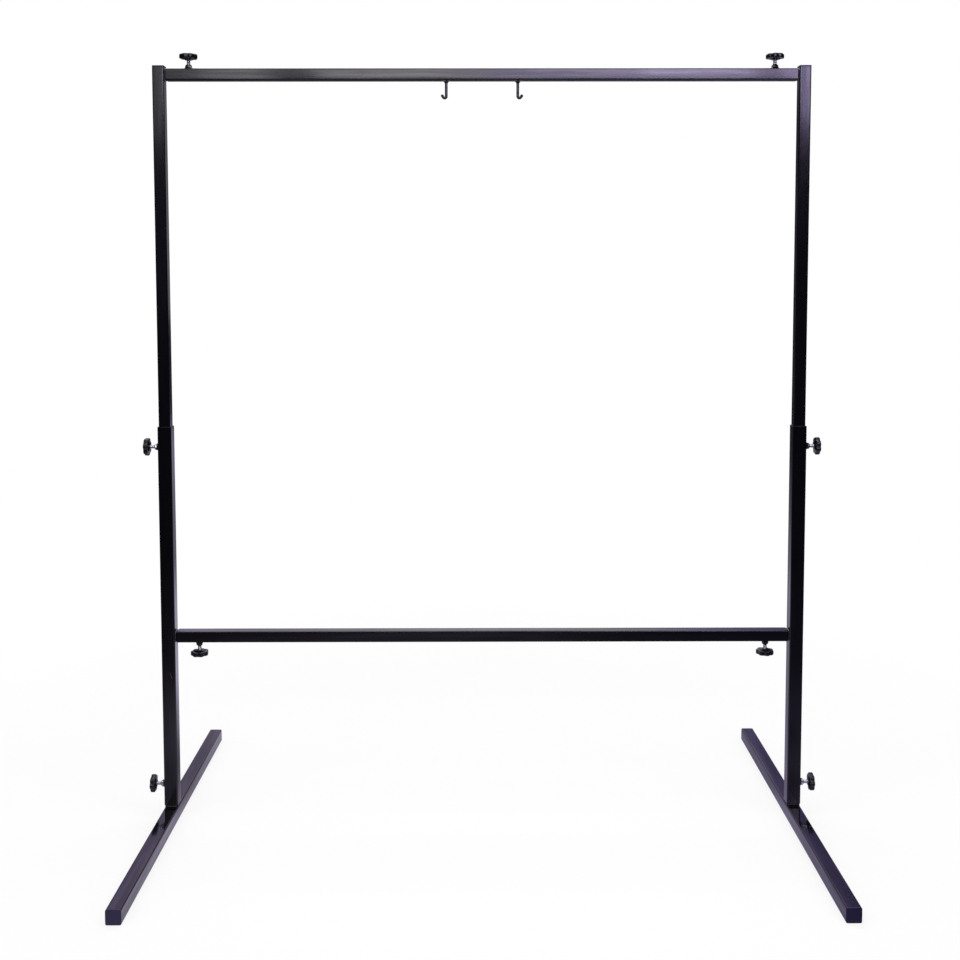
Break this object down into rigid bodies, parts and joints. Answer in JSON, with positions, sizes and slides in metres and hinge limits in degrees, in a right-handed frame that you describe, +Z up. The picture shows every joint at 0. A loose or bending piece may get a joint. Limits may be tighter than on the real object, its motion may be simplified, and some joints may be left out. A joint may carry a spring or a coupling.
{
  "type": "gong stand",
  "caption": "Free-standing gong frame of square steel tube with front-to-back feet, telescoping posts, upper and lower crossbars, cord hooks and star-knob clamp screws.",
  "frame": {"origin": "on the floor in the middle of the stand, under the middle of both crossbars", "axes": "+Z up, +X across the stand to the right as seen from the front, the front faces -Y"},
  "size_m": [1.4622, 0.88, 1.6656],
  "materials": {
    "painted_steel": "semi-gloss black powder coat",
    "zinc_stud": "bright zinc plated thread",
    "knob_plastic": "satin black moulded plastic",
    "plug_plastic": "smooth black moulded plastic"
  },
  "bodies": {
    "lower_frame": {"lower_crossbar": "painted_steel", "left_lower_bar_weld_nut": "painted_steel", "right_lower_bar_weld_nut": "painted_steel"},
    "left_post": {"left_lower_post": "painted_steel", "left_lower_bar_spigot": "painted_steel", "left_base_weld_nut": "painted_steel", "left_mast_weld_nut": "painted_steel"},
    "right_post": {"right_lower_post": "painted_steel", "right_lower_bar_spigot": "painted_steel", "right_base_weld_nut": "painted_steel", "right_mast_weld_nut": "painted_steel"},
    "left_mast": {"left_upper_post": "painted_steel", "left_post_plug": "plug_plastic", "left_top_bar_spigot": "painted_steel"},
    "right_mast": {"right_upper_post": "painted_steel", "right_post_plug": "plug_plastic", "right_top_bar_spigot": "painted_steel"},
    "top_frame": {"top_crossbar": "painted_steel", "left_gong_hook": "painted_steel", "right_gong_hook": "painted_steel", "left_top_bar_weld_nut": "painted_steel", "right_top_bar_weld_nut": "painted_steel"},
    "left_foot_frame": {"left_foot": "painted_steel", "left_foot_front_plug": "plug_plastic", "left_foot_rear_plug": "plug_plastic", "left_foot_spigot": "painted_steel"},
    "right_foot_frame": {"right_foot": "painted_steel", "right_foot_front_plug": "plug_plastic", "right_foot_rear_plug": "plug_plastic", "right_foot_spigot": "painted_steel"},
    "left_base_screw": {"left_base_stud": "zinc_stud"},
    "left_base_handle": {"left_base_knob": "knob_plastic"},
    "right_base_screw": {"right_base_stud": "zinc_stud"},
    "right_base_handle": {"right_base_knob": "knob_plastic"},
    "left_mast_screw": {"left_mast_stud": "zinc_stud"},
    "left_mast_handle": {"left_mast_knob": "knob_plastic"},
    "right_mast_screw": {"right_mast_stud": "zinc_stud"},
    "right_mast_handle": {"right_mast_knob": "knob_plastic"},
    "left_lower_bar_screw": {"left_lower_bar_stud": "zinc_stud"},
    "left_lower_bar_handle": {"left_lower_bar_knob": "knob_plastic"},
    "right_lower_bar_screw": {"right_lower_bar_stud": "zinc_stud"},
    "right_lower_bar_handle": {"right_lower_bar_knob": "knob_plastic"},
    "left_top_bar_screw": {"left_top_bar_stud": "zinc_stud"},
    "left_top_bar_handle": {"left_top_bar_knob": "knob_plastic"},
    "right_top_bar_screw": {"right_top_bar_stud": "zinc_stud"},
    "right_top_bar_handle": {"right_top_bar_knob": "knob_plastic"}
  },
  "joints": [
    {"name": "left_width", "type": "slide", "parent": "lower_frame", "child": "left_post", "axis": [-1, 0, 0], "range_m": [0, 0.045]},
    {"name": "right_width", "type": "slide", "parent": "lower_frame", "child": "right_post", "axis": [1, 0, 0], "range_m": [0, 0.045]},
    {"name": "left_height", "type": "slide", "parent": "left_post", "child": "left_mast", "axis": [0, 0, 1], "range_m": [-0.6, 0.065]},
    {"name": "right_height", "type": "slide", "parent": "right_post", "child": "right_mast", "axis": [0, 0, 1], "range_m": [-0.6, 0.065]},
    {"name": "top_bar_shift", "type": "slide", "parent": "left_mast", "child": "top_frame", "axis": [1, 0, 0], "range_m": [0, 0.045]},
    {"name": "left_foot_release", "type": "slide", "parent": "left_post", "child": "left_foot_frame", "axis": [0, 0, -1], "range_m": [0, 0.08]},
    {"name": "right_foot_release", "type": "slide", "parent": "right_post", "child": "right_foot_frame", "axis": [0, 0, -1], "range_m": [0, 0.08]},
    {"name": "left_base_travel", "type": "slide", "parent": "left_post", "child": "left_base_screw", "axis": [-1, 0, 0], "range_m": [0, 0.01]},
    {"name": "left_base_turn", "type": "hinge", "parent": "left_base_screw", "child": "left_base_handle", "pos_m": [-0.7311, 0, 0.0795], "axis": [-1, 0, 0], "range_deg": [0, 2880]},
    {"name": "right_base_travel", "type": "slide", "parent": "right_post", "child": "right_base_screw", "axis": [1, 0, 0], "range_m": [0, 0.01]},
    {"name": "right_base_turn", "type": "hinge", "parent": "right_base_screw", "child": "right_base_handle", "pos_m": [0.7311, 0, 0.0795], "axis": [1, 0, 0], "range_deg": [0, 2880]},
    {"name": "left_mast_travel", "type": "slide", "parent": "left_post", "child": "left_mast_screw", "axis": [-1, 0, 0], "range_m": [0, 0.01]},
    {"name": "left_mast_turn", "type": "hinge", "parent": "left_mast_screw", "child": "left_mast_handle", "pos_m": [-0.7311, 0, 0.8275], "axis": [-1, 0, 0], "range_deg": [0, 2880]},
    {"name": "right_mast_travel", "type": "slide", "parent": "right_post", "child": "right_mast_screw", "axis": [1, 0, 0], "range_m": [0, 0.01]},
    {"name": "right_mast_turn", "type": "hinge", "parent": "right_mast_screw", "child": "right_mast_handle", "pos_m": [0.7311, 0, 0.8275], "axis": [1, 0, 0], "range_deg": [0, 2880]},
    {"name": "left_lower_bar_travel", "type": "slide", "parent": "lower_frame", "child": "left_lower_bar_screw", "axis": [0, 0, -1], "range_m": [0, 0.01]},
    {"name": "left_lower_bar_turn", "type": "hinge", "parent": "left_lower_bar_screw", "child": "left_lower_bar_handle", "pos_m": [-0.6197, 0, 0.3674], "axis": [0, 0, -1], "range_deg": [0, 2880]},
    {"name": "right_lower_bar_travel", "type": "slide", "parent": "lower_frame", "child": "right_lower_bar_screw", "axis": [0, 0, -1], "range_m": [0, 0.01]},
    {"name": "right_lower_bar_turn", "type": "hinge", "parent": "right_lower_bar_screw", "child": "right_lower_bar_handle", "pos_m": [0.6197, 0, 0.3674], "axis": [0, 0, -1], "range_deg": [0, 2880]},
    {"name": "left_top_bar_travel", "type": "slide", "parent": "top_frame", "child": "left_top_bar_screw", "axis": [0, 0, 1], "range_m": [0, 0.01]},
    {"name": "left_top_bar_turn", "type": "hinge", "parent": "left_top_bar_screw", "child": "left_top_bar_handle", "pos_m": [-0.6222, 0, 1.6656], "axis": [0, 0, 1], "range_deg": [0, 2880]},
    {"name": "right_top_bar_travel", "type": "slide", "parent": "top_frame", "child": "right_top_bar_screw", "axis": [0, 0, 1], "range_m": [0, 0.01]},
    {"name": "right_top_bar_turn", "type": "hinge", "parent": "right_top_bar_screw", "child": "right_top_bar_handle", "pos_m": [0.6222, 0, 1.6656], "axis": [0, 0, 1], "range_deg": [0, 2880]}
  ],
  "couplings": [
    {"joint": "right_height", "follows": "left_height", "ratio": 1},
    {"joint": "top_bar_shift", "follows": "left_width", "ratio": 1},
    {"joint": "left_base_travel", "follows": "left_base_turn", "m_per_rad": 0.00019894},
    {"joint": "right_base_travel", "follows": "right_base_turn", "m_per_rad": 0.00019894},
    {"joint": "left_mast_travel", "follows": "left_mast_turn", "m_per_rad": 0.00019894},
    {"joint": "right_mast_travel", "follows": "right_mast_turn", "m_per_rad": 0.00019894},
    {"joint": "left_lower_bar_travel", "follows": "left_lower_bar_turn", "m_per_rad": 0.00019894},
    {"joint": "right_lower_bar_travel", "follows": "right_lower_bar_turn", "m_per_rad": 0.00019894},
    {"joint": "left_top_bar_travel", "follows": "left_top_bar_turn", "m_per_rad": 0.00019894},
    {"joint": "right_top_bar_travel", "follows": "right_top_bar_turn", "m_per_rad": 0.00019894}
  ]
}
